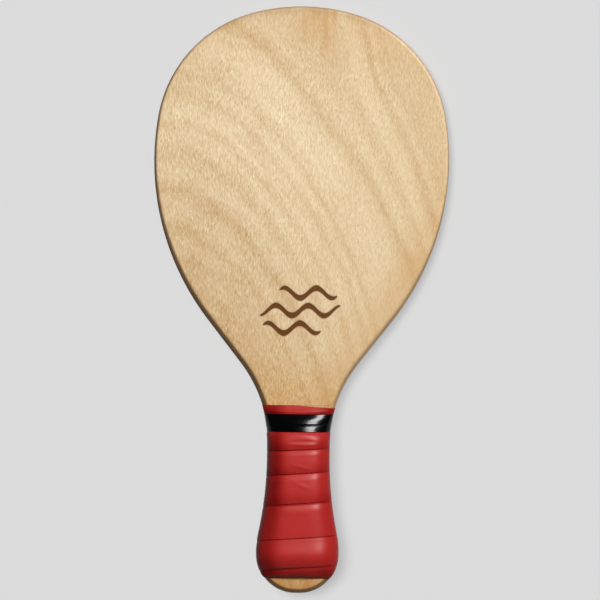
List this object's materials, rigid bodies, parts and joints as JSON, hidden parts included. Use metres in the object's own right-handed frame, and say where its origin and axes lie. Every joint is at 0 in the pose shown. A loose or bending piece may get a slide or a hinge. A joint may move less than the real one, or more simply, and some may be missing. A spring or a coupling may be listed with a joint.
{
  "type": "beach paddle",
  "caption": "Wooden beach paddle: oval plywood blade with a rounded edge, domed handle under a spiral cushioned wrap, and a black finishing tape at the neck.",
  "frame": {"origin": "middle of the whole paddle: half way along its length, on its centre line and on the blade's middle plane", "axes": "+Y from the butt to the blade's tip, +Z out of the front face, +X to the right as seen from the front"},
  "size_m": [0.201, 0.4, 0.0315],
  "materials": {
    "face_wood": "thin satin lacquer",
    "cross_wood": "sanded edge grain",
    "cheek_wood": "bare, hidden under the wrap",
    "wrap_red": "semi-gloss cushioned polyurethane",
    "tape_black": "glossy vinyl"
  },
  "bodies": {
    "root": {"ply_1_front": "face_wood", "ply_2": "cross_wood", "ply_3": "face_wood", "ply_4_middle": "cross_wood", "ply_5": "face_wood", "ply_6": "cross_wood", "ply_7_back": "face_wood", "cheek_front": "cheek_wood", "cheek_back": "cheek_wood", "grip_wrap": "wrap_red", "finishing_tape": "tape_black"}
  },
  "joints": []
}
